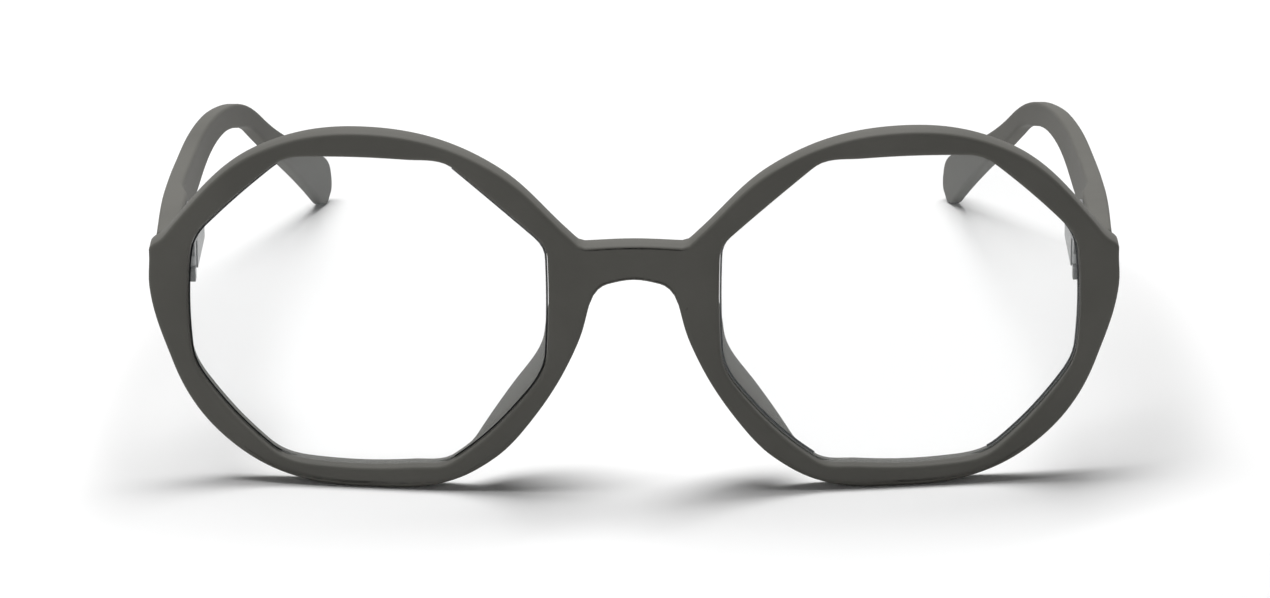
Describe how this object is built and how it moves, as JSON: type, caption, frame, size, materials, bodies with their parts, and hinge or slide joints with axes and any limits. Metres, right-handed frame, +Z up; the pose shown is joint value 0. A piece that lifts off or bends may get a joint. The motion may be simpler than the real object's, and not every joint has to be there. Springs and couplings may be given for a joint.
{
  "type": "reading glasses",
  "caption": "Reading glasses: a matte moulded front with bowed eight-sided lens openings in rounded rims, moulded nose pads and sprung folding temples.",
  "frame": {"origin": "middle of the bounding box at table height, with the glasses standing on the lower rims and the temple tips", "axes": "+Z up, -Y the way the front faces, +X the wearer's left; nodes named left and right are the wearer's left and right"},
  "size_m": [0.1424, 0.147, 0.0544],
  "materials": {
    "frame": "soft matte",
    "lens": "clear, coated",
    "hinge_metal": "satin",
    "spring_steel": "drawn wire",
    "screw_metal": "bright"
  },
  "bodies": {
    "front": {"front_frame": "frame", "lens_left": "lens", "lens_right": "lens", "hinge_plate_left": "hinge_metal", "hinge_plate_right": "hinge_metal", "plate_screw_left": "screw_metal", "plate_screw_right": "screw_metal", "hinge_screw_left": "screw_metal", "hinge_screw_right": "screw_metal"},
    "slider_left": {"slider_left": "hinge_metal", "slider_stop_left": "screw_metal"},
    "temple_left": {"temple_left": "frame", "spring_housing_left": "hinge_metal", "housing_screw_left": "screw_metal", "spring_left": "spring_steel"},
    "slider_right": {"slider_right": "hinge_metal", "slider_stop_right": "screw_metal"},
    "temple_right": {"temple_right": "frame", "spring_housing_right": "hinge_metal", "housing_screw_right": "screw_metal", "spring_right": "spring_steel"}
  },
  "joints": [
    {"name": "temple_left_fold", "type": "hinge", "parent": "front", "child": "slider_left", "pos_m": [0.06607, -0.0589, 0.0318], "axis": [0, 0, 1], "range_deg": [0, 85]},
    {"name": "temple_left_spring", "type": "slide", "parent": "slider_left", "child": "temple_left", "axis": [0, 1, 0], "range_m": [0, 0.0012], "stiffness_N_per_m": 2500, "springref_m": -0.0008, "deforming": ["spring_left"]},
    {"name": "temple_right_fold", "type": "hinge", "parent": "front", "child": "slider_right", "pos_m": [-0.06607, -0.0589, 0.0318], "axis": [0, 0, -1], "range_deg": [0, 81]},
    {"name": "temple_right_spring", "type": "slide", "parent": "slider_right", "child": "temple_right", "axis": [0, 1, 0], "range_m": [0, 0.0012], "stiffness_N_per_m": 2500, "springref_m": -0.0008, "deforming": ["spring_right"]}
  ]
}
